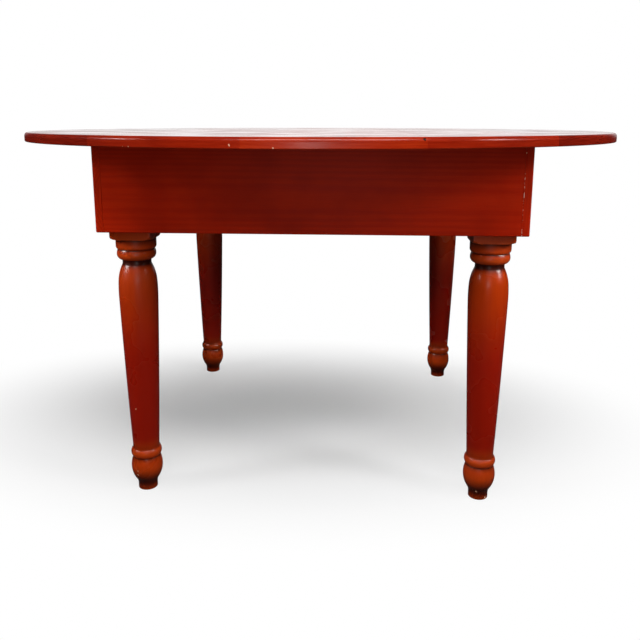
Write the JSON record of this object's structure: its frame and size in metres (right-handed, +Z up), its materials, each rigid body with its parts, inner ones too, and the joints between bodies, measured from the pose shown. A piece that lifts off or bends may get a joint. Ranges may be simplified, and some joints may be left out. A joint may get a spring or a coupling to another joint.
{
  "type": "round dining table",
  "caption": "Round dining table in red-stained solid wood: plank top on a deep square apron, with turned vase-shaped legs set in the apron's corners.",
  "frame": {"origin": "on the floor, under the centre of the round top", "axes": "+Z up; -Y towards the apron's front board, which faces the picture's camera; +X to the right as seen from the front; the planks run along Y"},
  "size_m": [1.345, 1.3448, 0.762],
  "materials": {
    "stained_wood": "red-brown stain under satin varnish, rubbed at the edges",
    "bare_wood": "planed, without finish",
    "steel": "plain zinc-grey steel"
  },
  "bodies": {
    "root": {"top_plank_far_left": "stained_wood", "top_plank_left": "stained_wood", "top_plank_middle": "stained_wood", "top_plank_right": "stained_wood", "top_plank_far_right": "stained_wood", "apron_front": "stained_wood", "apron_right": "stained_wood", "apron_back": "stained_wood", "apron_left": "stained_wood", "leg_front_left": "stained_wood", "leg_front_right": "stained_wood", "leg_back_right": "stained_wood", "leg_back_left": "stained_wood", "batten_front": "bare_wood", "batten_middle": "bare_wood", "batten_back": "bare_wood", "corner_brace_front_left": "bare_wood", "corner_brace_front_right": "bare_wood", "corner_brace_back_right": "bare_wood", "corner_brace_back_left": "bare_wood", "glue_blocks": "bare_wood", "hanger_bolts": "steel", "bolt_nuts": "steel"}
  },
  "joints": []
}
